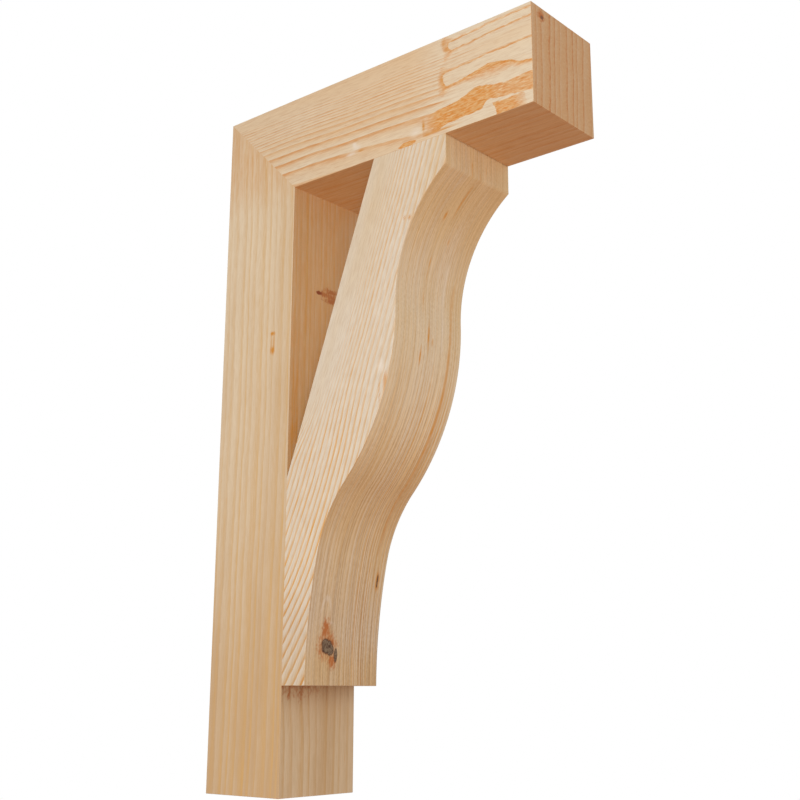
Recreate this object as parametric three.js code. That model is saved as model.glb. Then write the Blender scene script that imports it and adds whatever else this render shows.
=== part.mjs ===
// Timber corbel bracket: a square leg and a square arm joined by a mitre, propped by a brace sawn to an S-curve.
// Millimetres. X runs out from the wall, Y across the bracket and Z up.
// The origin is the centre of the leg's back face, where the bracket is fixed to the wall.
import * as THREE from "three";

// Driving dimensions
const INCH = 25.4;
const TIMBER = 4 * INCH; // side of the square leg and arm, and the thickness of the brace
const PROJECTION = 16 * INCH; // from the wall to the arm's end
const HEIGHT = 28 * INCH; // from the leg's foot to the arm's top
const LEG_TAIL = 4 * INCH; // leg left bare below the brace
const ARM_OVERHANG = 4 * INCH; // arm left bare beyond the brace
const NOSE_HEIGHT = 30; // upright flat at the brace's top end
const TOE_DEPTH = 30; // level flat at the brace's bottom end
const BRACE_DEPTH = 96; // from the brace's straight back edge to the line between its toe and its nose

// Where the arcs of the brace's S-curve meet, out from the leg's front and down from the arm's underside
const KNEE = new THREE.Vector2(43.4, -386.3); // end of the long flat cove above the toe
const SWELL = new THREE.Vector2(78.2, -320.2); // the tighter cove turns over into the belly
const WAIST = new THREE.Vector2(140.8, -156.5); // the belly turns into the upper cove, where the edge stands upright
const ARC_SEGMENTS = 14;

// Levels and faces that follow from the driving dimensions
const top = HEIGHT / 2;
const foot = -HEIGHT / 2;
const innerCorner = new THREE.Vector2(TIMBER, top - TIMBER); // leg's front meets arm's underside
const toe = new THREE.Vector2(TIMBER + TOE_DEPTH, foot + LEG_TAIL);
const nose = new THREE.Vector2(PROJECTION - ARM_OVERHANG, innerCorner.y - NOSE_HEIGHT);

// Upright timber against the wall, its top cut to a 45 degree mitre.
function legOutline() {
  const outline = new THREE.Shape();
  outline.moveTo(0, foot);
  outline.lineTo(TIMBER, foot);
  outline.lineTo(innerCorner.x, innerCorner.y);
  outline.lineTo(0, top);
  outline.closePath();
  return outline;
}

// Level timber that carries the load, its wall end cut to the same mitre.
function armOutline() {
  const outline = new THREE.Shape();
  outline.moveTo(innerCorner.x, innerCorner.y);
  outline.lineTo(PROJECTION, innerCorner.y);
  outline.lineTo(PROJECTION, top);
  outline.lineTo(0, top);
  outline.closePath();
  return outline;
}

// Adds the arc that leaves the path's end in the direction of heading and ends at a point, and returns its last heading.
function tangentArcTo(path, heading, end) {
  const start = path.currentPoint.clone();
  const chord = end.clone().sub(start);
  const turn = 2 * (Math.atan2(chord.y, chord.x) - heading);
  const clockwise = turn < 0;
  const radius = chord.length() / (2 * Math.sin(Math.abs(turn) / 2));
  const towardsCentre = heading + (clockwise ? -Math.PI / 2 : Math.PI / 2);
  const centre = new THREE.Vector2(Math.cos(towardsCentre), Math.sin(towardsCentre)).multiplyScalar(radius).add(start);
  const startAngle = towardsCentre + Math.PI;
  path.absarc(centre.x, centre.y, radius, startAngle, startAngle + turn, clockwise);
  return heading + turn;
}

// Brace board: a straight back edge parallel to the line from toe to nose, and a front sawn in four tangent arcs.
function braceOutline() {
  const along = nose.clone().sub(toe).normalize();
  const backwards = new THREE.Vector2(-along.y, along.x);
  const onBackEdge = toe.clone().addScaledVector(backwards, BRACE_DEPTH);
  const riseToArm = (innerCorner.y - onBackEdge.y) / along.y;
  const reachToLeg = (TIMBER - onBackEdge.x) / along.x;
  const backAtArm = onBackEdge.clone().addScaledVector(along, riseToArm);
  const backAtLeg = onBackEdge.clone().addScaledVector(along, reachToLeg);

  const outline = new THREE.Shape();
  outline.moveTo(TIMBER, toe.y);
  outline.lineTo(toe.x, toe.y);
  let heading = Math.PI / 2;
  for (const joint of [KNEE, SWELL, WAIST]) {
    heading = tangentArcTo(outline, heading, joint.clone().add(innerCorner));
  }
  tangentArcTo(outline, heading, nose);
  outline.lineTo(nose.x, innerCorner.y);
  outline.lineTo(backAtArm.x, innerCorner.y);
  outline.lineTo(TIMBER, backAtLeg.y);
  outline.closePath();
  return outline;
}

// A piece of timber: its outline in X and Z, as thick as the bracket is wide and centred on Y.
function timberPiece(name, outline, colour) {
  const geometry = new THREE.ExtrudeGeometry(outline, {
    depth: TIMBER,
    bevelEnabled: false,
    curveSegments: ARC_SEGMENTS,
  });
  const material = new THREE.MeshStandardMaterial({ color: colour, roughness: 0.6, metalness: 0 });
  const piece = new THREE.Mesh(geometry, material);
  piece.name = name;
  piece.rotation.x = Math.PI / 2; // the outline's second axis becomes Z
  piece.position.y = TIMBER / 2;
  return piece;
}

const bracket = new THREE.Group();
bracket.add(timberPiece("wall_leg", legOutline(), 0xd0b48f));
bracket.add(timberPiece("top_arm", armOutline(), 0xd6b48f));
bracket.add(timberPiece("curved_brace", braceOutline(), 0xdcc4a6));

export default bracket;
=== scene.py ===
import math
from functools import partial
import bpy
import numpy as np
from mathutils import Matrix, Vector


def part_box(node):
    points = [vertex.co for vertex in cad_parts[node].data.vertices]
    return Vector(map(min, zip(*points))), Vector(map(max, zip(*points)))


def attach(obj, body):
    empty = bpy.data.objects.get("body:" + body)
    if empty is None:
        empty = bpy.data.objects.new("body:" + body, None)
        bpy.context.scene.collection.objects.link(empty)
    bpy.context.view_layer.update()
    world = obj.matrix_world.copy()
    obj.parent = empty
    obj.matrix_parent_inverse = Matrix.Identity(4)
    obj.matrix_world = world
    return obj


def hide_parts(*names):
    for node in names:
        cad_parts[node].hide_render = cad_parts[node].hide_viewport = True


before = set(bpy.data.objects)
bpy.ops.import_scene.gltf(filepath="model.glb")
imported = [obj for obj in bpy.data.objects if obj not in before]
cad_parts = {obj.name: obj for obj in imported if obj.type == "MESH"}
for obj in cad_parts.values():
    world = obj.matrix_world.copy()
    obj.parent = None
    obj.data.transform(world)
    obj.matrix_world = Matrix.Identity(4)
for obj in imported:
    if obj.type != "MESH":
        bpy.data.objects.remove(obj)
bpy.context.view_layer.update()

# Sizes are in millimetres, read from the frame, and go into the meshes in metres.
mm = 0.001
legBox, armBox, braceBox = [np.array(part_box(name)) / mm for name in ("wall_leg", "top_arm", "curved_brace")]
foot, top = legBox[0, 2], legBox[1, 2]
timber = legBox[1, 0]  # side of the square timber
halfWidth = legBox[1, 1]
underArm = armBox[0, 2]
armEnd = armBox[1, 0]
braceFoot = braceBox[0, 2]
print("frame: timber %.1f, height %.1f, projection %.1f mm" % (timber, top - foot, armEnd))


def linear(hexColour):
    # sRGB hex to linear light, with the standard curve on each channel
    srgb = [int(hexColour[i:i + 2], 16) / 255 for i in (1, 3, 5)]
    return [c / 12.92 if c <= 0.04045 else ((c + 0.055) / 1.055) ** 2.4 for c in srgb] + [1.0]


def rise(value, start, end):
    # cubic step, 0 at start and 1 at end, whichever of them is higher
    t = np.clip((value - start) / (end - start), 0, 1)
    return t * t * (3 - 2 * t)


def bell(value, centre, width):
    # bell curve, 1 at centre and 1/e at one width from it
    return np.exp(-((value - centre) / width) ** 2)


def graded(terms, **axes):
    # A base value plus terms. Each term is a size times one or more curves, and a curve is a rise between two
    # places on an axis or a bell about a place with a width.
    total, *others = terms
    for size, *curves in others:
        for curve, axis, place, other in curves:
            size = size * curve(axes[axis], place, other)
        total = total + size
    return total


def wave(along, across, size, pace, start=0.0, slant=math.inf):
    # one sine wave, with the mm along and across the grain that make a radian of it, and where it starts
    return size * np.sin(along / pace + across / slant + start)


def waver(waves, along, across=0.0):
    # sum of sine waves that bend the lines
    return sum(wave(along, across, *numbers) for numbers in waves)


def spot(along, across, marks):
    # sum of two-way bells, one for each mark: its place and half sizes along and across, and depth of colour
    total = np.zeros_like(along)
    for a, b, halfLong, halfWide, depth in marks:
        total = total + depth * bell(along, a, halfLong) * bell(across, b, halfWide)
    return total


def ovals(along, across, shapes):
    # 1 in the middle of the nearest oval, 0 on its rim and below 0 outside it
    inside = np.full_like(along, -1.0)
    for a, b, halfLong, halfWide in shapes:
        inside = np.maximum(inside, 1 - np.hypot((along - a) / halfLong, (across - b) / halfWide))
    return inside


ringWaves = [(0.20, 1.9), (0.07, 4.7)]  # sizes in rings, and radians for each ring


def uneven(rings):
    # ring count with wide and narrow rings in turn: two sine waves that never turn it back
    return rings + sum(size * np.sin(pace * rings) for size, pace in ringWaves)


def roundKnot(along, across, knot):
    # place across the grain that a line would have without the knot, so that lines part and pass round it
    a, b = along - knot["at"][0], across - knot["at"][1]
    pull = bell(a, 0, knot["swirl"][0]) * bell(b, 0, knot["swirl"][1])
    return across - np.sign(b) * np.minimum(np.abs(b), knot["part"]) * pull


def sideGrain(spec, rings, along, across, **axes):
    # One side's grain: its ring count, its graded values, the marks at their places, and how far inside the
    # knot's core and its halo
    axes.update(along=along, across=across)
    grain = {key: graded(terms, **axes) for key, terms in spec["grain"].items()}
    grain["fleck"] = grain.get("fleck", 0) + spot(along, across, spec.get("marks", []))
    for part in ("core", "halo"):
        grain[part] = ovals(along, across, spec.get("knot", {}).get(part, []))
    return {"rings": rings, **grain}


def plainSide(spec, along, across):
    # plain lines that lean and waver a little: one ring for every spacing across them
    lines = across + spec.get("lean", 0) * along + waver(spec.get("waves", ()), along)
    return sideGrain(spec, uneven(lines / graded(spec["spacing"], along=along)), along, across)


arcSteps = 3  # steps round an eased arris
frontSide, firstEnd, lastEnd = 1, 4, 5  # a board's sides are near, front, far, back and its two ends


def timberLoop(ease, flats):
    # Loop round a board's section: four flats joined by quarter arcs. A point's depth is a share of the
    # board's depth plus a multiple of the arris radius, and its y is a place across the width.
    # The flats are near (y low), front, far (y high) and back.
    inner = halfWidth - ease
    share, lift, y, side = [], [], [], []
    for k, count in enumerate(flats):
        t = np.linspace(0, 1, count + 1)
        flatShare = [t, np.ones_like(t), 1 - t, np.zeros_like(t)][k]
        flatLift = [1 - 2 * t, np.zeros_like(t), 2 * t - 1, np.zeros_like(t)][k]
        nearY, farY = np.full_like(t, -halfWidth), np.full_like(t, halfWidth)
        flatY = [nearY, inner * (2 * t - 1), farY, inner * (1 - 2 * t)][k]
        a = math.pi / 2 * (np.arange(1, arcSteps) / arcSteps + k - 1)
        share += [flatShare, np.full(arcSteps - 1, [1.0, 1.0, 0.0, 0.0][k])]
        lift += [flatLift, np.cos(a) - [1, 1, -1, -1][k]]
        y += [flatY, ease * np.sin(a) + inner * [-1, 1, 1, -1][k]]
        side += [np.full(count + arcSteps, k)]
    return np.concatenate(share), np.concatenate(lift), np.concatenate(y), np.concatenate(side)


def timberSurface(spec, stations, limits, stretch, place):
    # A rounded rectangle carried along the board. Each row is the loop at one station, with its depth limits
    # there, drawn in to the middle at the ends: by a quarter arc at an eased end and then evenly to a point.
    ease = spec["ease"]
    share, lift, loopY, loopSide = timberLoop(ease, spec["flats"])
    capScale = np.linspace(0, 1, spec["capRings"], endpoint=False)
    arc = np.linspace(0, math.pi / 2, arcSteps + 1)
    rows = []
    for end, eased in zip((0, 1), spec["easedEnds"]):
        station = stations[-end]
        sign = 1 - 2 * end
        drawIn = ease * (1 - np.sin(arc)) if eased else np.zeros(1)
        along = station + sign * ease * (1 - np.cos(arc)) if eased else np.full(1, station)
        capAlong = np.full(len(capScale), station)
        capIn = np.full(len(capScale), drawIn[0])
        part = np.c_[np.r_[capAlong, along], np.r_[capIn, drawIn], np.r_[capScale, np.ones(len(along))]]
        rows.append(part[::-1] if end else part)
    body = stations[1:-1]
    body = np.c_[body, np.zeros(len(body)), np.ones(len(body))]
    along, drawIn, scale = np.vstack([rows[0], body, rows[1]]).T
    low, high = limits(along)
    middle, half = (low + high)[:, None] / 2, (high - low)[:, None] / 2
    depth = low[:, None] + (high - low)[:, None] * share + ease * lift
    depth = middle + (depth - middle) * scale[:, None] * (1 - drawIn[:, None] / half)
    y = loopY * scale[:, None] * (1 - drawIn[:, None] / halfWidth)
    points = np.stack(place(depth, y, stretch(np.broadcast_to(along[:, None], depth.shape), depth)), -1)
    rowSide = np.full(len(along), -1)
    rowSide[:len(rows[0]) - 1] = firstEnd
    rowSide[len(along) - len(rows[1]):] = lastEnd
    return points, loopSide, rowSide


def timberMesh(name, surface, flip, fields, smoothFront=False):
    # Joins the rows and columns into faces, with one point at each end, and stores the grain on their corners
    points, loopSide, rowSide = surface
    rows, columns = points.shape[:2]
    index = np.arange(rows * columns).reshape(rows, columns) - (columns - 1)
    index[0] = 0
    index[-1] = index[-2].max() + 1
    here, beside = index, np.roll(index, -1, axis=1)
    quads = np.stack([here[1:-2], beside[1:-2], beside[2:-1], here[2:-1]], -1).reshape(-1, 4)
    first = np.stack([here[0], beside[1], here[1]], -1)
    last = np.stack([here[-2], beside[-2], here[-1]], -1)
    if flip:
        quads, first, last = quads[:, ::-1], first[:, ::-1], last[:, ::-1]
    vertices = np.vstack([points[0, :1], points[1:-1].reshape(-1, 3), points[-1, :1]]) * mm
    bandSide = np.where(rowSide[1:-2, None] >= 0, rowSide[1:-2, None], loopSide[None, :]).ravel()
    side = np.concatenate([bandSide, np.full(columns, firstEnd), np.full(columns, lastEnd)])
    corner = np.concatenate([quads.ravel(), first.ravel(), last.ravel()])
    sizes = np.concatenate([np.full(len(quads), 4), np.full(2 * columns, 3)])
    starts = np.concatenate([[0], np.cumsum(sizes)[:-1]])
    mesh = bpy.data.meshes.new(name)
    mesh.vertices.add(len(vertices))
    mesh.vertices.foreach_set("co", vertices.astype(np.float32).ravel())
    mesh.loops.add(len(corner))
    mesh.loops.foreach_set("vertex_index", corner.astype(np.int32))
    mesh.polygons.add(len(sizes))
    mesh.polygons.foreach_set("loop_start", starts.astype(np.int32))
    mesh.update(calc_edges=True)
    mesh.polygons.foreach_set("use_smooth", (side == frontSide) & smoothFront)
    storeGrain(mesh, vertices[corner] / mm, np.repeat(side, sizes), fields)
    obj = bpy.data.objects.new(name, mesh)
    bpy.context.scene.collection.objects.link(obj)
    print("%s: %d faces, valid %s" % (name, len(sizes), not mesh.validate()))
    return obj


ringPeak = 0.84  # place of a ring's darkest line, where the fields count whole rings
ringShift = {"wander": 0.16, "fray": 0.09}  # how far the noise moves the lines either way, in rings
grainValues = ("rings", "strength", "tone", "endGrain", "edge", "flame", "fleck", "core", "halo", "layers")


def storeGrain(mesh, corners, side, fields):
    # Each side's own function gives its grain at the corners. The ring count goes into one attribute and the
    # other values into three, in threes.
    values = {key: np.zeros(len(corners)) for key in grainValues}
    for k, field in enumerate(fields):
        on = side == k
        for key, found in field(*corners[on].T).items():
            values[key][on] = found
    rings = mesh.attributes.new("rings", "FLOAT", "CORNER")
    counted = values["rings"] + ringPeak - sum(ringShift.values())
    rings.data.foreach_set("value", counted.astype(np.float32))
    for i, group in enumerate(("figure", "marks", "knot")):
        packed = np.stack([values[key] for key in grainValues[1 + 3 * i:4 + 3 * i]], -1)
        stored = mesh.attributes.new(group, "FLOAT_VECTOR", "CORNER")
        stored.data.foreach_set("vector", packed.astype(np.float32).ravel())


def node(tree, kind, feeds=None, **settings):
    # Adds one node. Settings go to its properties. Each feed goes to the input of that name or number: a node
    # or an output is linked, anything else is the value set there.
    made = tree.nodes.new("ShaderNode" + kind)
    for key, value in settings.items():
        setattr(made, key, value)
    for key, feed in (feeds or {}).items():
        if isinstance(feed, bpy.types.Node):
            feed = next(output for output in feed.outputs if output.enabled)
        if isinstance(feed, bpy.types.NodeSocket):
            tree.links.new(feed, made.inputs[key])
        else:
            made.inputs[key].default_value = feed
    return made


# Douglas fir, planed and sanded, unfinished. Pale spring wood ends in a harder orange band of summer wood in
# every ring, sharp on one side. The bare surface is nearly matt, the summer wood a little glossier and proud.
def douglasFir(name, look):
    material = bpy.data.materials.new(name)
    material.use_nodes = True
    tree = material.node_tree
    tree.nodes.clear()
    add = partial(node, tree)
    place = add("TexCoord").outputs["Object"]
    rings = add("Attribute", attribute_name="rings").outputs["Fac"]
    grain = {}
    for group in ("figure", "marks", "knot"):
        stored = add("Attribute", attribute_name=group).outputs["Vector"]
        grain[group] = add("SeparateXYZ", {0: stored}).outputs
    strength, tone, endGrain = grain["figure"]
    edge, flame, fleck = grain["marks"]
    core, halo, layered = grain["knot"]

    # Noises with blobs of the given size in mm: out from the board, across it and along it
    noise = {}
    for key, (size, detail) in look["noises"].items():
        turned = add("Mapping", {"Vector": place, "Rotation": (0, look["lean"], 0),
                                 "Scale": [s * mm for s in size]}, vector_type="TEXTURE")
        noise[key] = add("TexNoise", {"Vector": turned, "Scale": 1.0, "Detail": detail, "Roughness": 0.6})

    # Rings: the fraction of the ring count gives the place within a ring, and a ramp its depth of colour.
    # Lines seen end on are thinner, no two rings are equally dark, and lines come and go along the grain.
    count = rings
    for key in ringShift:
        count = add("Math", {0: noise[key], 1: 2 * ringShift[key], 2: count}, operation="MULTIPLY_ADD")
    within = add("Math", {0: count}, operation="FRACT")
    ramp = add("ValToRGB", {0: within})
    ramp.color_ramp.interpolation = "EASE"
    stops = ramp.color_ramp.elements
    for position, depth in look["ring"][1:-1]:
        stops.new(position)
    for stop, (position, depth) in zip(stops, look["ring"]):
        stop.position = position
        stop.color = (depth, depth, depth, 1)
    thin = add("Math", {0: endGrain, 1: look["thin"], 2: 1.0}, operation="MULTIPLY_ADD")
    line = add("Math", {0: ramp, 1: thin}, operation="POWER")
    number = add("Math", {0: count}, operation="FLOOR")
    chance = add("TexWhiteNoise", {"W": number}, noise_dimensions="1D").outputs["Value"]
    share = add("MapRange", {"Value": chance, "To Min": look["unequal"], "To Max": 1.0})
    dashes = add("MapRange", {"Value": noise["dashes"], "From Min": 0.32, "From Max": 0.68,
                              "To Min": look["dashed"], "To Max": 1.15})
    band = line
    for factor in (share, dashes, strength):
        band = add("Math", {0: band, 1: factor}, operation="MULTIPLY")

    # Flames: where the saw ran along a ring, its summer wood shows as a broad patch with one crisp edge
    rim = add("Math", {0: noise["fray"], 1: 0.25, 2: edge}, operation="MULTIPLY_ADD")
    rim = add("Math", {0: noise["ragged"], 1: 0.35, 2: rim}, operation="MULTIPLY_ADD")
    crisp = add("MapRange", {"Value": rim, "From Min": 0.73, "From Max": 0.88},
                interpolation_type="SMOOTHSTEP")
    mottle = add("MapRange", {"Value": noise["mottle"], "From Min": 0.33, "From Max": 0.63})
    thick = add("MapRange", {"Value": mottle, "To Min": 0.45})
    patch = crisp
    for factor in (flame, thick):
        patch = add("Math", {0: patch, 1: factor}, operation="MULTIPLY")
    late = add("Math", {0: band, 1: patch}, operation="MAXIMUM")

    # Fibres and thin layers within the rings tint the wood like weaker summer wood
    threads = add("MapRange", {"Value": noise["fibre"], "From Min": 0.35, "From Max": 0.65,
                               "To Min": -look["threads"], "To Max": look["threads"]})
    layers = add("MapRange", {"Value": noise["layers"], "From Min": 0.25, "From Max": 0.75,
                              "To Min": -1.0, "To Max": 1.0})
    fine = add("Math", {0: layers, 1: layered, 2: threads}, operation="MULTIPLY_ADD")
    tinted = add("Math", {0: late, 1: fine}, operation="ADD", use_clamp=True)
    swing = add("MapRange", {"Value": within, "To Min": -look["swing"], "To Max": look["swing"]})
    swing = add("Math", {0: swing, 1: strength, 2: tone}, operation="MULTIPLY_ADD")
    drift = add("MapRange", {"Value": noise["drift"], "To Min": -0.45, "To Max": 0.45})
    warmth = add("Math", {0: swing, 1: drift}, operation="ADD", use_clamp=True)
    colour = add("Mix", {0: warmth, 6: linear(look["pale"]), 7: linear(look["tan"])}, data_type="RGBA")
    lines = add("Mix", {0: endGrain, 6: linear(look["late"]), 7: linear(look["lateEnd"])}, data_type="RGBA")
    colour = add("Mix", {0: tinted, 6: colour, 7: lines}, data_type="RGBA")
    amber = add("Mix", {0: mottle, 6: linear(look["amber"]), 7: linear(look["flame"])}, data_type="RGBA")
    colour = add("Mix", {0: patch, 6: colour, 7: amber}, data_type="RGBA")
    shade = add("Math", {0: fine, 1: -look["shade"], 2: 1.0}, operation="MULTIPLY_ADD")
    colour = add("VectorMath", {0: colour, "Scale": shade}, operation="SCALE")

    # Resin ducts are short orange dashes, drawn about twice as wide as real ones so that they show. The
    # listed
    # marks are broken up by the fine noise: above 0 resin, below 0 pale.
    dash = add("MapRange", {"Value": noise["ducts"], "From Min": 0.68, "From Max": 0.78,
                            "To Max": look["ducts"]})
    broken = add("MapRange", {"Value": noise["fray"], "From Min": 0.3, "From Max": 0.7,
                              "To Min": 0.55, "To Max": 1.35})
    mark = add("Math", {0: fleck, 1: broken}, operation="MULTIPLY")
    resin = add("MapRange", {"Value": mark, "From Min": 0.12, "From Max": 0.80})
    resin = add("Math", {0: resin, 1: dash}, operation="MAXIMUM")
    bleached = add("MapRange", {"Value": mark, "From Min": -0.12, "From Max": -0.80})
    # Where a side's fleck values spread this orange over a whole region, in the eye behind the brace and
    # under the arm, it is painted warm shade.
    for mask, tint in ((resin, "resin"), (bleached, "bleached")):
        colour = add("Mix", {0: mask, 6: colour, 7: linear(look[tint])}, data_type="RGBA")

    # Knots: a ragged orange halo, then a dark rim round a core, which is grey and mottled in a dead knot
    around = add("Math", {0: noise["ragged"], 1: 2.2, 2: halo}, operation="MULTIPLY_ADD")
    around = add("MapRange", {"Value": around, "From Min": 1.05, "From Max": 1.75, "To Max": 0.95})
    colour = add("Mix", {0: around, 6: colour, 7: linear(look["halo"])}, data_type="RGBA")
    inside = add("Math", {0: noise["ragged"], 1: 0.8, 2: core}, operation="MULTIPLY_ADD")
    scorched = add("MapRange", {"Value": inside, "From Min": 0.05, "From Max": 0.40, "To Max": 0.5})
    colour = add("Mix", {0: scorched, 6: colour, 7: linear(look["knotRim"])}, data_type="RGBA")
    solid = add("MapRange", {"Value": inside, "From Min": 0.30, "From Max": 0.54})
    deadness = add("MapRange", {"Value": inside, "From Min": 0.42, "From Max": 0.68})
    heart = add("MapRange", {"Value": noise["crumbs"], "From Min": 0.36, "From Max": 0.58})
    for factor in (deadness, look["deadKnot"]):
        heart = add("Math", {0: heart, 1: factor}, operation="MULTIPLY")
    wood = add("Mix", {0: heart, 6: linear(look["knotRim"]), 7: linear(look["knotHeart"])}, data_type="RGBA")
    colour = add("Mix", {0: solid, 6: colour, 7: wood}, data_type="RGBA")

    # End grain is the same wood seen down its fibres, which soaks up light
    # This tint also paints shade: the shadow just under the brace's toe, the shade in the brace's waist and
    # the warm shade under the arm.
    colour = add("Mix", {0: endGrain, 6: colour, 7: linear(look["endGrainAndShadeTint"])}, data_type="RGBA",
                 blend_type="MULTIPLY")

    # Relief and gloss: the fibres are slightly rough, and the summer wood is proud and smoother
    relief = add("Math", {0: noise["fibre"], 1: 1.2, 2: band}, operation="MULTIPLY_ADD")
    bump = add("Bump", {"Height": relief, "Strength": 0.4, "Distance": 0.00012})
    gloss = add("MapRange", {"Value": tinted, "To Min": 0.66, "To Max": 0.50})
    shader = add("BsdfPrincipled", {"Base Color": colour, "Roughness": gloss, "Normal": bump, "IOR": 1.45})
    add("OutputMaterial", {"Surface": shader})
    return material


# Leg: upright lines on both of its shown sides, with a little knot on each.
# A side's grain is graded in the strength of its lines, its tone from pale to tan, its resin flecks, its thin
# layers and how far it is cut across the fibres; in places the tone, the flecks and the end tint also carry
# painted shade. Places are in mm along the grain and then across it.
# The eye behind the brace is in shade: the terms on this rise paint its warm shade into the leg's front, as
# resin orange, tanner tone, stronger lines and less end tint.
intoShadedEye = (rise, "along", -200, -40)  # up the leg's front into the eye behind the brace
legTimber = {
    "ease": 0.3, "flats": (50, 50, 40, 30), "capRings": 24, "easedEnds": (True, False), "rowStep": 2.0,
    "near": {
        "spacing": 10.0, "start": -37.0,  # one strong line runs 37 mm from the wall
        "lean": 0.022, "leanBelow": 40.0,
        "mitreBend": [0.0, (9.0, (rise, "along", 215, 360))], "mitreReach": 42.0,
        "waves": [(0.5, 43, 0, 30), (0.3, 17, 1)],
        "knot": {"at": (89, 75), "part": 2.0, "swirl": (22, 7)},
        "marks": [(98.5, 75, 1.6, 2.8, 1.1), (89, 77.8, 11, 0.9, 1.1), (90, 72.4, 10, 0.8, 0.8),
                  (80, 75, 3.8, 2.5, 1.1)],
        "grain": {
            "strength": [0.48, (0.2, (bell, "across", 32, 15)), (0.14, (rise, "along", 60, -250))],
            # Tone rising towards the foot darkens the lower leg: painted shade where the light falls off
            # downwards.
            "tone": [0.34, (0.2, (rise, "across", 60, 100)), (0.54, (rise, "along", 20, -330)),
                     (-0.16, (rise, "along", 20, 90)), (-0.1, (rise, "along", 120, 200))],
            "fleck": [0.0, (0.34, (rise, "along", 190, 305))], "layers": [0.05],
        },
    },
    "front": {
        "spacing": [11.0, (-3.8, (rise, "along", -254, -40))], "start": 45.0,
        "lean": [0.0, (4.0, (rise, "along", -312, -256), (rise, "along", -200, -256),
                       (rise, "across", 25, -35))],
        "waves": [(0.4, 31)],
        "knot": {"at": (147, -2), "part": 3.0, "swirl": (14, 12), "core": [(147, -11, 2.0, 4.2)],
                 "halo": [(147, -2, 4, 12), (151.5, 8, 4.5, 14), (145.5, 9, 3.5, 14), (141, 7, 3.5, 13),
                          (-236, -32, 26, 60), (-262, -41, 7, 2.0), (-262, -25, 10, 1.6)]},
        "marks": [(-5, -43, 75, 6.0, 0.32)],
        "grain": {
            # In the eye the grain below is retuned: painted warm shade of the eye.
            "strength": [0.62, (-0.2, (rise, "across", -10, 50)), (0.10, intoShadedEye)],
            "tone": [0.70, (0.10, intoShadedEye)], "fleck": [0.0, (0.33, intoShadedEye)], "layers": [0.08],
            # The bell at the level of the brace's toe darkens the strip just below it: painted shadow of the
            # toe.
            "endGrain": [0.25, (-0.11, intoShadedEye), (0.5, (bell, "along", -254, 14))],
        },
    },
    "far": {"spacing": [9.2], "lean": 0.018, "waves": [(1.2, 90)],
            "grain": {"strength": [0.6], "tone": [0.45, (0.2, (rise, "along", -100, -340))]}},
    "back": {"spacing": [8.4], "lean": 0.01, "waves": [(1.5, 120)],
             "grain": {"strength": [0.6], "tone": [0.5]}},
    "ends": {"spacing": 6.9, "heart": (260.0, 230.0),
             "grain": {"strength": [0.75], "tone": [0.5], "endGrain": [0.75]}},
}


def legNear(x, y, z):
    # lines run upright, lean to the wall going down and bend to it near the mitre
    spec = legTimber["near"]
    lean = spec["lean"] * np.minimum(z - spec["leanBelow"], 0) + waver(spec["waves"], z, x)
    bend = graded(spec["mitreBend"], along=z) * np.exp(-x / spec["mitreReach"])
    across = roundKnot(z, x, spec["knot"]) - lean + bend + spec["start"]
    return sideGrain(spec, uneven(across / spec["spacing"]), z, x)


def legFront(x, y, z):
    # lines stand wide apart at the foot, lean away beside the brace's toe and close up towards the arm
    spec = legTimber["front"]
    lean = graded(spec["lean"], along=z, across=y) + waver(spec["waves"], z)
    across = roundKnot(z, y, spec["knot"]) + lean + spec["start"]
    return sideGrain(spec, uneven(across / graded(spec["spacing"], along=z)), z, y)


def legEndGrain(x, y, z):
    # rings cross the section slantwise in shallow arcs: one for every spacing from the tree's heart
    spec = legTimber["ends"]
    rings = np.hypot(x - spec["heart"][0], y - spec["heart"][1]) / spec["spacing"]
    return sideGrain(spec, uneven(rings), x, y)


def makeLeg():
    # The loop is carried up the leg, with each row tilted by its share of the mitre's slope. Plain lines run
    # up the far side and the back.
    stations = np.linspace(foot, top, int((top - foot) / legTimber["rowStep"]))
    surface = timberSurface(
        legTimber, stations,
        limits=lambda along: (np.zeros_like(along), np.full_like(along, timber)),
        stretch=lambda along, depth: foot + (along - foot) * (top - depth - foot) / (top - foot),
        place=lambda depth, y, along: (depth, y, along))
    fields = (legNear, legFront,
              lambda x, y, z: plainSide(legTimber["far"], z, x),
              lambda x, y, z: plainSide(legTimber["back"], z, y), legEndGrain, legEndGrain)
    return timberMesh("leg_timber_board", surface, False, fields)


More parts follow.
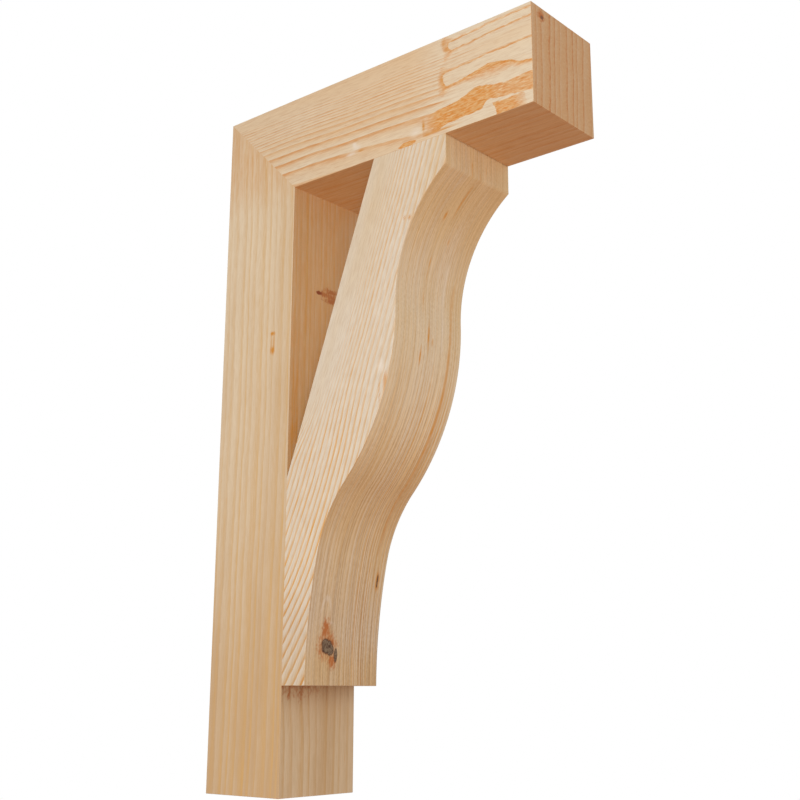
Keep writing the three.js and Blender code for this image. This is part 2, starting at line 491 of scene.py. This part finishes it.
# Arm: flat sawn, so that its side shows flames and its underside and end show straight lines
smeared = [(bell, "along", 186, 12), (bell, "across", 273, 8)]  # a pale smear hides the lines over the brace
towardsEnd = (rise, "along", 285, 325)
underTongue = (rise, "across", 312, 306)  # below the middle tongue
flameStart = (rise, "along", 274, 300)
# the arm's underside over the eye, where its painted warm shade is deepest
armOverShadedEye = (rise, "along", 240, 200)
armTimber = {
    "ease": 0.3, "flats": (68, 50, 40, 50), "capRings": 24, "easedEnds": (False, True), "rowStep": 1.5,
    "near": {
        "closeLevel": 317.0, "closeSpacing": 3.4, "upperSpacing": 3.2, "widening": 0.24,
        "dip": [0.012, (0.018, (rise, "across", 332, 285))], "dipFrom": 100.0,
        "footDip": [0.0, (0.08, (rise, "across", 280, 266))], "footDipFrom": 195.0,
        "waves": [(0.4, 23), (0.5, 61, 0, 20)],
        "marks": [(277.5, 269, 1.8, 7, 0.8), (281, 260, 4, 3, 0.5), (286, 268, 8, 7, 0.35),
                  (304, 259.3, 20, 1.2, 0.8), (188, 281, 4, 1.4, 0.9), (195, 268.5, 5, 1.3, 1.0),
                  (265, 277, 11, 3, 0.35), (303, 349, 3.5, 6.5, 0.6), (307, 340.5, 3.5, 2.2, 0.5),
                  (301, 312, 2.2, 5, 0.5), (187, 277, 3, 4, -0.65), (183, 268, 7, 2.5, -0.55),
                  (191, 273, 5, 3, -0.5), (268, 266, 9, 7, -0.45)],
        "fade": [1.0, (-1.0, towardsEnd),
                 (0.7, towardsEnd, (bell, "across", 330, 7), (rise, "along", 375, 330))],
        "clear": [1.0, (-0.9, *smeared)],
        "grain": {
            "strength": [0.0, (0.70, (rise, "across", 344, 334)), (0.15, (rise, "across", 330, 316)),
                         (0.35, (rise, "across", 312, 292)), (-0.6, (rise, "across", 274, 260))],
            "tone": [0.57, (0.12, (rise, "along", 90, 180)), (-0.66, (rise, "along", 255, 320)),
                     (-0.35, *smeared), (-0.2, (rise, "across", 300, 262), (rise, "along", 40, 120)),
                     (0.3, (rise, "along", 285, 320), (bell, "across", 330, 8))],
            "layers": [0.10],
        },
    },
    # The underside's resin orange and end tint all over, more over the eye, are painted warm shade of the
    # face that looks down.
    "under": {"spacing": [10.0], "start": 46.0, "waves": [(0.8, 45), (0.3, 13)],
              "grain": {"strength": [0.58], "tone": [1.0], "fleck": [0.21, (0.10, armOverShadedEye)],
                        "layers": [0.16], "endGrain": [0.14, (0.08, armOverShadedEye)]}},
    "top": {"spacing": [9.0], "waves": [(1.5, 80), (0.4, 19)], "grain": {"strength": [0.6], "tone": [0.5]}},
    "far": {"middle": 300.0, "half": 34.0, "arch": 2.6, "slope": 0.8, "taper": 0.014,
            "waves": [(0.2, 60)], "grain": {"strength": [0.6], "tone": [0.55], "layers": [0.10]}},
    "end": {
        "spacing": 10.0, "start": 43.0, "lean": 0.035, "waves": [(0.3, 14, 0, 9)],
        "knot": {"at": (346, -33.5), "part": 2.0, "swirl": (9, 7), "core": [(346, -33.5, 2.0, 2.3)],
                 "halo": [(347, -35, 6, 7)]},
        "grain": {"strength": [1.1], "tone": [1.0], "fleck": [0.2], "layers": [0.10], "endGrain": [0.52]},
    },
    "flames": {  # rims and depths of the flames on the near side, along it and up
        "rimSlope": 6.0,  # mm over which a flame's rim rises from 0 to 1
        "bleedPower": 1.6,  # how steeply the colour outside a tongue fades
        "lead": (11.0, 5.0),  # how far before a tongue's tip its colour starts and is full
        "parting": 326.0, "faintest": 0.12,  # level between the two tongues, and the least that is drawn
        "alongWaves": [(0.7, 2.7, 0, 13), (0.9, 6.3, 2)],
        "upWaves": [(0.25, 5.3), (0.2, 2.3, 1), (0.35, 14, 4)],
        "top": {"tip": 309.0, "low": (338.8, 0.048), "high": (347.5, 0.035), "bow": 3.0, "swell": [0.0],
                "bleed": [1.9, (5.0, (bell, "along", 304, 7))], "depth": [0.8]},
        "middle": {"tip": 303.0, "low": (303.0, 0.0), "high": (317.0, 0.028), "bow": 3.0,
                   "swell": [0.0, (5.5, (bell, "along", 356, 24)), (-5.0, (rise, "along", 378, 396))],
                   "bleed": [2.0, (3.6, (bell, "along", 300, 7)), (1.0, underTongue),
                             (6.5, underTongue, (bell, "along", 358, 22))],
                   "depth": [0.8, (0.2, underTongue)]},
        "bigTop": [(268, 275), (300, 281), (318, 283), (330, 286), (342, 291), (352, 288), (364, 285),
                   (380, 283.5), (394, 285), (407, 286.5)],
        "bigFoot": [(274, 262), (284, 257.5), (296, 259), (304, 263.5), (349, 265), (353, 270), (359, 273),
                    (365, 270.5), (380, 269.5), (407, 267)],
        "bigRounding": (5.0, 2.5),
        "bigDepth": [0.0, (1.0, flameStart), (-0.3, flameStart, (rise, "along", 350, 374))],
        "corner": {"from": 363.0, "at": 260.0, "slant": 0.25, "top": 267.0,
                   "depth": [0.0, (0.85, (rise, "along", 404, 380))]},
        "streak": {"at": (257.0, 256.3), "half": (11.0, 2.6), "rim": 3.6},
    },
}
flames = armTimber["flames"]


def softRim(past):
    # a straight ramp over the rim's width, 0.5 on the rim and 1 past it, which the material sharpens
    return np.clip(0.5 + past / flames["rimSlope"], 0, 1)


def tongue(x, z, spec):
    # A pale tongue between two lines that open towards the arm's end, with a bowed tip. Outside its rim the
    # summer wood is darkest and then fades by a power of the distance.
    tip = spec["tip"]
    low = spec["low"][0] + spec["low"][1] * (x - tip) + graded(spec["swell"], along=x)
    high = spec["high"][0] + spec["high"][1] * (x - tip)
    off = np.clip(np.abs(2 * z - low - high) / (high - low), 0, 1)
    outside = np.maximum(np.maximum(low - z, z - high), tip + spec["bow"] * off ** 3 - x)
    bleed = graded(spec["bleed"], along=x, across=z)
    faded = np.exp(-(np.maximum(outside, 0) / bleed) ** flames["bleedPower"])
    begin, full = flames["lead"]
    return softRim(outside), graded(spec["depth"], across=z) * faded * rise(x, tip - begin, tip - full)


def smoothLine(x, points, reach):
    # line through the points with its corners rounded off: the mean of five places up to one reach away
    shifts = reach * np.linspace(-1, 1, 5)
    return np.mean([np.interp(x + shift, *np.array(points).T) for shift in shifts], axis=0)


def armFlames(x, z):
    # Two tongues, the big flame under them, the small patch at the lower corner and a streak over the brace,
    # all with rims that waver by about half a millimetre. At each place the strongest of them is taken.
    x = x + waver(flames["alongWaves"], z, x)
    z = z + waver(flames["upWaves"], x)
    middle = tongue(x, z, flames["middle"])
    high = tongue(x, z, flames["top"])
    bigTop, bigFoot = [smoothLine(x, flames[key], reach)
                       for key, reach in zip(("bigTop", "bigFoot"), flames["bigRounding"])]
    big = softRim(np.minimum(bigTop - z, z - bigFoot)), graded(flames["bigDepth"], along=x)
    spec = flames["corner"]
    inCorner = np.minimum(x - spec["from"] + spec["slant"] * (z - spec["at"]), spec["top"] - z)
    corner = softRim(inCorner), graded(spec["depth"], along=x)
    spec = flames["streak"]
    offStreak = np.hypot((x - spec["at"][0]) / spec["half"][0], (z - spec["at"][1]) / spec["half"][1])
    streak = softRim(spec["rim"] * (1 - offStreak)), np.ones_like(x)
    edges, depths = [np.stack(parts) for parts in zip(middle, high, big, corner, streak)]
    overParting = np.array([False, True, False, False, False])
    depths = depths * (overParting[:, None] == (z > flames["parting"]))
    shown = edges * depths
    chosen = shown.argmax(0)[None]
    edge = np.take_along_axis(edges, chosen, 0)[0] * (shown.max(0) > flames["faintest"])
    return edge, np.take_along_axis(depths, chosen, 0)[0]


def armNear(x, y, z):
    # lines stand close in the upper half and ever wider apart below, by a log law, dipping a little outwards
    spec = armTimber["near"]
    dip = graded(spec["dip"], across=z) * (x - spec["dipFrom"])
    footDip = graded(spec["footDip"], across=z) * np.maximum(x - spec["footDipFrom"], 0)
    level = z + dip + footDip + waver(spec["waves"], x, z)
    below = np.maximum(spec["closeLevel"] - level, 0)
    above = np.maximum(level - spec["closeLevel"], 0)
    widened = np.log(1 + spec["widening"] * below / spec["closeSpacing"]) / spec["widening"]
    grain = sideGrain(spec, above / spec["upperSpacing"] - widened, x, z)
    for cover in ("fade", "clear"):
        grain["strength"] = grain["strength"] * graded(spec[cover], along=x, across=z)
    grain["edge"], grain["flame"] = armFlames(x, z)
    return grain


def armFar(x, y, z):
    # plain flat-sawn figure: nested long arches open towards the wall, from a square law up the side
    spec = armTimber["far"]
    middle = (z - spec["middle"]) / spec["half"]
    rings = spec["taper"] * x + spec["arch"] * middle ** 2 + spec["slope"] * middle + waver(spec["waves"], x)
    return sideGrain(spec, rings, x, z)


def armFront(x, y, z):
    # end grain: lines stand nearly upright and lean a little at the bottom
    spec = armTimber["end"]
    lean = spec["lean"] * (top - z) + waver(spec["waves"], z, y)
    across = roundKnot(z, y, spec["knot"]) + lean + spec["start"]
    return sideGrain(spec, uneven(across / spec["spacing"]), z, y)


def armTop(x, y, z):
    # plain lines along the arm, counted across its width
    return plainSide(armTimber["top"], x, y)


def makeArm():
    # The loop is carried out from the wall, with each row tilted by its share of the mitre's slope. The plain
    # lines of the underside meet those on the arm's end.
    stations = np.linspace(0, armEnd, int(armEnd / armTimber["rowStep"]))
    surface = timberSurface(
        armTimber, stations,
        limits=lambda along: (np.full_like(along, underArm), np.full_like(along, top)),
        stretch=lambda along, depth: top - depth + along * (armEnd - top + depth) / armEnd,
        place=lambda depth, y, along: (along, y, depth))
    under = armTimber["under"]
    fields = (armNear, armTop, armFar,
              lambda x, y, z: plainSide(under, x, y + under["start"]), armTop, armFront)
    return timberMesh("arm_timber_board", surface, True, fields)


# Brace: a board with its front sawn to an S of four arcs, each leaving as the last one ended.
# Places on its sides are levels and, on its front, lengths along the S from the toe.
lowerSide = (rise, "along", 60, -45)
backStrip = (rise, "fromBack", 12, 42)
backStreak = (bell, "fromBack", 14, 9)
lowerFront = (rise, "along", 345, 270)
farHalf = (rise, "across", -12, 5)
byToe = (rise, "along", 170, 50)
resinEnds = [(rise, "along", 95, 150), (rise, "along", 440, 405)]
brace = {
    "ease": 0.3, "flats": (52, 100, 40, 30), "capRings": 24, "easedEnds": (True, False), "rowStep": 2.0,
    "toeDepth": 30.0, "noseHeight": 30.0, "depth": 96.0, "noseX": braceBox[1, 0],
    "arcEnds": [(43.4, -386.3), (78.2, -320.2), (140.8, -156.5)],  # out from the leg and down from the arm
    "lengthSteps": 1200,
    "near": {
        "focus": 104.0, "upperSpacing": 9.5, "narrowing": 0.08, "upperReach": (-5.0, 104.0),
        "lowerSpacing": 6.2, "opening": 4.4, "openLevel": -60.0, "openHeight": 195.0, "openMost": 1.2,
        "fanLevel": -130.0, "fanRate": 0.0008,  # level below which the lines lean over, and how fast
        "sway": [0.0, (3.4, (bell, "along", -150, 45))],
        "waves": [(0.6, 27, 0, 40), (0.8, 70)],
        "low": [0.0, (1.0, lowerSide)],
        "backFade": [0.0, (1.0, lowerSide), (1.0, backStrip), (-1.0, lowerSide, backStrip)],
        "footStrength": [0.0, (0.28, (rise, "along", -70, -170))],
        "marks": [(181, 253.5, 3.0, 1.2, 0.8), (180, 260, 2.6, 1.7, 0.9), (24, 230, 16, 2.4, 0.75),
                  (12, 223, 13, 1.2, 0.6), (38, 226, 7, 4.5, -0.9)],
        "grain": {
            "strength": [0.60, (0.34, lowerSide)],
            "tone": [0.08, (0.40, (rise, "along", -150, -250)), (0.2, (rise, "along", 100, 220)),
                     (0.25, backStreak), (-0.25, backStreak, lowerSide)],
            "endGrain": [0.0, (0.25, (rise, "along", -130, -220))],
        },
    },
    "front": {
        "spacing": 5.2, "lean": 0.006, "waves": [(0.5, 33)],
        "crowding": (1.5, 20.0, 12.0),  # extra rings towards the far edge, their place and their half width
        "knot": {"at": (36, -19), "part": 7.0, "swirl": (28, 16),
                 "core": [(36, -22, 6.5, 7.0), (39, -24.5, 4.5, 5.0), (33, -17.5, 5.0, 5.0),
                          (28.5, -9.5, 6.0, 2.2), (102, 40.5, 6.5, 1.0)],
                 "halo": [(37, -22, 15, 15), (51, -25, 14, 6), (23, -14, 9, 7)]},
        "arches": [(58, -27, 24, 8), (50, -17, 9, 6)],  # pale lines over the knot: foot and half sizes
        "archDepth": 0.45, "archLine": 0.16, "archStart": 9.0,
        "marks": [(40, -22, 26, 17, 0.3), (355, 0, 15, 1.4, 0.9), (351, 6.5, 5, 1.3, 0.7),
                  (334, -10, 10, 1.3, 0.9), (477, -10, 6, 1.6, 0.8), (455, 9.5, 4, 1.4, 0.5),
                  (498, 1.5, 20, 1.2, 0.7), (532, -9, 11, 1.0, 0.7), (526, 4, 8, 0.9, 0.5),
                  (536, 14, 7, 0.8, 0.5), (102, 40.5, 9, 2.2, 1.2), (430, -7.5, 6, 1.1, 0.6),
                  (390, -9, 14, 1.0, 0.5), (415, -8, 9, 0.9, 0.45)],
        "resinLine": ([95, 130, 160, 200, 340, 400, 440],  # along the S
                      [41, 37, 35, 34, 33, 35, 38.5]),  # across it
        "resinWidth": 2.8,
        "resinDepth": [0.0, (0.36, *resinEnds), (0.24, (bell, "along", 280, 80), *resinEnds)],
        # The bells at about 180 mm along the S in tone and end tint darken the waist: painted shade of the
        # curve there.
        "grain": {
            "strength": [0.20, (0.15, lowerFront), (0.35, lowerFront, farHalf), (-0.06, lowerFront, byToe),
                         (-0.14, lowerFront, farHalf, byToe), (0.62, byToe, (bell, "across", 22, 13))],
            "tone": [0.62, (0.25, (bell, "along", 185, 70)), (-0.12, byToe), (0.4, (rise, "along", 50, 10)),
                     (0.15, (rise, "across", 20, 45)), (0.3, (rise, "along", 420, 490))],
            "fleck": [0.0, (-0.45, (bell, "across", 21, 1.6), (rise, "along", 330, 350),
                            (rise, "along", 445, 425))],
            "layers": [0.26, (0.16, lowerFront), (-0.10, byToe)],
            "endGrain": [0.0, (0.42, byToe), (0.25, (bell, "along", 170, 55))],
        },
    },
    "far": {"spacing": [6.2, (2.5, (rise, "along", -60, -250))],
            "waves": [(1.2, 60)], "grain": {"strength": [0.6], "tone": [0.3]}},
    "back": {"spacing": [4.6], "waves": [(1.0, 50)], "grain": {"strength": [0.5], "tone": [0.4]}},
    "ends": {"spacing": [4.2], "lean": 0.15, "grain": {"strength": [0.8], "tone": [0.5], "endGrain": [0.6]}},
}


toe = np.array([timber + brace["toeDepth"], braceFoot])
nose = np.array([brace["noseX"], underArm - brace["noseHeight"]])


def braceCurve():
    # Each arc's centre lies square to the direction it leaves in, at the radius whose chord reaches its end
    ends = [np.array([timber + out, underArm + down]) for out, down in brace["arcEnds"]]
    start = toe
    heading = math.pi / 2
    arcs = []
    for end in ends + [nose]:
        chord = end - start
        turn = 2 * (math.atan2(chord[1], chord[0]) - heading)
        radius = np.hypot(*chord) / (2 * math.sin(abs(turn) / 2))
        hand = np.sign(turn)  # 1 where the arc bends back to the wall
        centre = start + hand * radius * np.array([-math.sin(heading), math.cos(heading)])
        arcs.append((end[1], centre, radius, hand))
        heading += turn
        start = end
    return arcs


def braceFront(z):
    # the S, then the upright flat of the nose
    x = np.full_like(z, brace["noseX"])
    for level, centre, radius, hand in reversed(braceCurve()):
        lift = np.clip(z - centre[1], -radius, radius)
        x = np.where(z <= level, centre[0] + hand * np.sqrt(radius ** 2 - lift ** 2), x)
    return x


# The back edge is straight and runs along the line from the toe to the nose, one depth behind it
braceAlong = (nose - toe) / np.hypot(*(nose - toe))
onBack = toe + brace["depth"] * np.array([-braceAlong[1], braceAlong[0]])
backAtLeg = onBack[1] + (timber - onBack[0]) * braceAlong[1] / braceAlong[0]
braceLean = math.atan2(braceAlong[0], braceAlong[1])


def braceBack(z):
    # against the leg, then straight along the board's back edge up to the arm
    return timber + np.maximum(z - backAtLeg, 0) * braceAlong[0] / braceAlong[1]


def inFromBack(x, z):
    # distance square to the back edge
    return (x - timber) * braceAlong[1] - (z - backAtLeg) * braceAlong[0]


def frontLength(z):
    # distance along the S from the toe, summed over short steps
    levels = np.linspace(braceFoot, underArm, brace["lengthSteps"])
    steps = np.hypot(np.diff(levels), np.diff(braceFront(levels)))
    return np.interp(z, levels, np.concatenate([[0], np.cumsum(steps)]))


def braceNear(x, y, z):
    # Lines run along the board and fan out at the foot by a square law. Above, they stand closer together
    # towards the back edge by a log law, and the board's back strip is nearly plain.
    spec = brace["near"]
    fromBack = inFromBack(x, z)
    fan = spec["fanRate"] * np.minimum(z - spec["fanLevel"], 0) ** 2
    fromFront = spec["focus"] - fromBack + waver(spec["waves"], z, x) - fan + graded(spec["sway"], along=z)
    narrowing = spec["narrowing"] / spec["upperSpacing"]
    upper = -np.log(1 - narrowing * np.clip(fromFront, *spec["upperReach"])) / spec["narrowing"]
    opened = np.clip((spec["openLevel"] - z) / spec["openHeight"], 0, spec["openMost"])
    lower = fromFront / (spec["lowerSpacing"] + spec["opening"] * opened ** 2)
    low = graded(spec["low"], along=z)
    grain = sideGrain(spec, -(upper * (1 - low) + lower * low), z, x, fromBack=fromBack)
    shownLines = grain["strength"] * graded(spec["backFade"], along=z, fromBack=fromBack)
    grain["strength"] = shownLines + graded(spec["footStrength"], along=z)
    return grain


def braceFrontGrain(x, y, z):
    # fine lines along the lower part of the S, one long resin line near the far edge, and a knot at the toe
    spec = brace["front"]
    s = frontLength(z)
    across = roundKnot(s, y, spec["knot"]) + waver(spec["waves"], s) + spec["lean"] * s
    extra, place, half = spec["crowding"]
    rings = across / spec["spacing"] + extra * np.tanh((across - place) / half)
    grain = sideGrain(spec, uneven(rings), s, y)
    onLine = bell(y, np.interp(s, *spec["resinLine"]), spec["resinWidth"])
    resin = onLine * graded(spec["resinDepth"], along=s)
    pale = 0
    for a, b, halfLong, halfWide in spec["arches"]:
        line = bell(np.hypot((s - a) / halfLong, (y - b) / halfWide), 1, spec["archLine"])
        pale = pale + spec["archDepth"] * line * rise(s, a - spec["archStart"], a)
    grain["fleck"] = grain["fleck"] + resin - pale
    return grain


def braceEndGrain(x, y, z):
    # close plain lines that slant across the end
    return plainSide(brace["ends"], x, y)


def makeBrace():
    # The loop is carried up the board, with rows at the levels where its outline turns a corner. Plain lines
    # run along the far side and the back.
    levels = [braceFoot, backAtLeg, underArm - brace["noseHeight"], underArm]
    runs = [np.linspace(low, high, int((high - low) / brace["rowStep"]), endpoint=False)
            for low, high in zip(levels, levels[1:])]
    surface = timberSurface(
        brace, np.concatenate(runs + [[underArm]]),
        limits=lambda along: (braceBack(along), braceFront(along)),
        stretch=lambda along, depth: along,
        place=lambda depth, y, along: (depth, y, along))
    fields = (braceNear, braceFrontGrain,
              lambda x, y, z: plainSide(brace["far"], z, inFromBack(x, z)),
              lambda x, y, z: plainSide(brace["back"], z, y), braceEndGrain, braceEndGrain)
    return timberMesh("brace_board", surface, False, fields, smoothFront=True)


# Looks of the three boards. A ring's ramp gives depth of colour over the ring, from pale start to dark end.
softRing = [(0.0, 0.05), (0.35, 0.10), (0.62, 0.50), (ringPeak, 1.0), (0.93, 0.7), (1.0, 0.05)]
crispRing = [(0.0, 0.0), (0.50, 0.04), (0.72, 0.45), (ringPeak, 1.0), (0.94, 0.9), (1.0, 0.0)]
broadRing = [(0.0, 0.0), (0.44, 0.04), (0.68, 0.50), (ringPeak, 1.0), (0.95, 0.85), (1.0, 0.0)]
noises = {  # blob sizes in mm out from the board, across it and along it, then detail
    "wander": ((22, 22, 140), 2.0), "fray": ((2.2, 2.2, 26), 3.0), "fibre": ((1.0, 1.0, 13), 4.0),
    "mottle": ((1.5, 1.5, 7.0), 4.0), "drift": ((30, 30, 220), 2.0), "ragged": ((2.6, 2.6, 4.5), 3.0),
    "ducts": ((1.3, 1.3, 15), 1.0), "crumbs": ((1.8, 1.8, 2.6), 4.0), "dashes": ((4.0, 4.0, 45), 2.0),
}
straightLayers = dict(noises, layers=((1.8, 1.8, 150), 2.0))
slantedLayers = dict(noises, layers=((60, 1.5, 200), 3.0))
shared = dict(
    unequal=0.5, dashed=0.6, thin=2.8, threads=0.12, deadKnot=0.0, swing=0.45, shade=0.30,
    ducts=0.30, flame="#d2822c", amber="#e4b870", resin="#ce8a32", bleached="#e8dac8", halo="#c4752f",
    knotRim="#513523", knotHeart="#8b7860", endGrainAndShadeTint="#dcc2a4")
looks = {
    "leg": dict(
        shared, lean=0.0, ring=softRing, noises=straightLayers, swing=0.2, knotRim="#8a4520", halo="#ae6934",
        endGrainAndShadeTint="#cfc4b6", pale="#e1ccad", tan="#c4a27a", late="#d6a65c", lateEnd="#6e3014"),
    "arm": dict(
        shared, lean=math.pi / 2, ring=crispRing, noises=straightLayers, threads=0.16, deadKnot=0.3,
        dashed=0.3, knotRim="#8a5a38", pale="#e0cdb0", tan="#dbb88d", late="#cf8a47", lateEnd="#cc8a48"),
    "brace": dict(
        shared, lean=braceLean, ring=broadRing, noises=slantedLayers, deadKnot=1.0, shade=0.6, halo="#bd7032",
        endGrainAndShadeTint="#d2bcaa", pale="#dcceba", tan="#d3b588", late="#dc9f4d", lateEnd="#985c38"),
}

pieces = {
    "leg": (makeLeg(), "wall_leg", "leg_timber", "planed Douglas fir, leg"),
    "arm": (makeArm(), "top_arm", "arm_timber", "planed Douglas fir, flat-sawn arm"),
    "brace": (makeBrace(), "curved_brace", "brace_timber", "bandsawn and sanded Douglas fir, brace"),
}
for key, (piece, cadNode, slot, materialName) in pieces.items():
    piece.data.materials.append(douglasFir(materialName, looks[key]))
    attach(piece, "root")
    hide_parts(cadNode)
print("timbers: %s" % ", ".join(piece.name for piece, *_ in pieces.values()))

# Studio: a pale floor under the hung bracket, white all round, a warm low bounce from below, one large soft
# light near the camera and a weaker one behind
studio = {
    "floorDrop": 1000.0, "floorSize": 10.0, "floorColour": "#f4f3f1", "floorRoughness": 0.9, "floorGlow": 0.5,
    "above": (0.585, 0.64, 0.673), "below": (0.33, 0.11, 0.0), "horizon": (-0.9, 0.3),
    "lampAim": (0.2, 0.0, 0.0), "lampAway": 2.5,
}
lamps = {  # turn from the front to the right and drop below level in degrees, size in m, power and colour
    "key": (36.5, 12.5, 1.3, 43.0, (1.0, 0.99, 0.97)),
    "fill": (217.0, -35.0, 1.6, 28.0, (1.0, 0.95, 0.88)),  # for the sides away from the camera
}


def makeFloor():
    # one square, level, centred under the origin, of plain pale paint
    half = studio["floorSize"] / 2
    level = (foot - studio["floorDrop"]) * mm
    corners = [(-half, -half, level), (half, -half, level), (half, half, level), (-half, half, level)]
    mesh = bpy.data.meshes.new("floor")
    mesh.from_pydata(corners, [], [(0, 1, 2, 3)])
    material = bpy.data.materials.new("painted studio floor")
    material.use_nodes = True
    shader = material.node_tree.nodes["Principled BSDF"]
    shader.inputs["Base Color"].default_value = linear(studio["floorColour"])
    shader.inputs["Roughness"].default_value = studio["floorRoughness"]
    shader.inputs["Emission Color"].default_value = linear(studio["floorColour"])
    shader.inputs["Emission Strength"].default_value = studio["floorGlow"]
    mesh.materials.append(material)
    floor = bpy.data.objects.new("floor", mesh)
    bpy.context.scene.collection.objects.link(floor)
    floor.visible_diffuse = False  # the bounce from below is the world's, so the undersides stay dim
    floor.visible_glossy = False


def makeLight():
    # The world is white to the eye, and lights the bracket evenly from above and warmly from below. Each lamp
    # stands at its turn and drop, at the same distance from the point it faces.
    world = bpy.data.worlds.new("studio")
    world.use_nodes = True
    tree = world.node_tree
    tree.nodes.clear()
    add = partial(node, tree)
    direction = add("TexCoord").outputs["Generated"]
    height = add("SeparateXYZ", {0: direction}).outputs["Z"]
    low, high = studio["horizon"]
    share = add("MapRange", {"Value": height, "From Min": low, "From Max": high},
                interpolation_type="SMOOTHSTEP")
    tint = add("Mix", {0: share, 6: (*studio["below"], 1), 7: (*studio["above"], 1)}, data_type="RGBA")
    lit = add("Background", {"Color": tint})
    seen = add("Background", {"Color": (1, 1, 1, 1)})
    eye = add("LightPath").outputs["Is Camera Ray"]
    both = add("MixShader", {0: eye, 1: lit, 2: seen})
    add("OutputWorld", {"Surface": both})
    bpy.context.scene.world = world
    for name, (turn, drop, size, power, colour) in lamps.items():
        data = bpy.data.lights.new(name, "AREA")
        data.shape = "DISK"
        data.size = size
        data.energy = power
        data.color = colour
        lamp = bpy.data.objects.new(name, data)
        turn, drop = math.radians(turn), math.radians(drop)
        back = np.array([math.sin(turn) * math.cos(drop), -math.cos(turn) * math.cos(drop), -math.sin(drop)])
        lamp.location = np.array(studio["lampAim"]) + studio["lampAway"] * back
        lamp.rotation_euler = (math.pi / 2 + drop, 0, turn)
        bpy.context.scene.collection.objects.link(lamp)


# Camera: low and to the right, looking up, worked out from the corners that show in the photo
view = {
    "place": (0.97522, -0.89607, -0.25945), "turn": 40.04, "up": 14.958,  # metres and degrees
    "focal": 1234.63, "centre": (413.33, 361.84), "image": 800,  # pixels
    "sensor": 36.0, "nearest": 0.05,
}


def makeCamera():
    # the focal length and the shift turn pixels of the photo into shares of the sensor
    data = bpy.data.cameras.new("camera")
    data.sensor_width = view["sensor"]
    data.lens = view["focal"] / view["image"] * data.sensor_width
    data.shift_x = 0.5 - view["centre"][0] / view["image"]
    data.shift_y = view["centre"][1] / view["image"] - 0.5
    data.clip_start = view["nearest"]
    camera = bpy.data.objects.new("camera", data)
    camera.location = view["place"]
    camera.rotation_euler = (math.radians(90 + view["up"]), 0, math.radians(view["turn"]))
    bpy.context.scene.collection.objects.link(camera)
    bpy.context.scene.camera = camera


makeFloor()
makeLight()
makeCamera()
bpy.context.scene.view_settings.view_transform = "Standard"
print("studio: floor, light and camera")
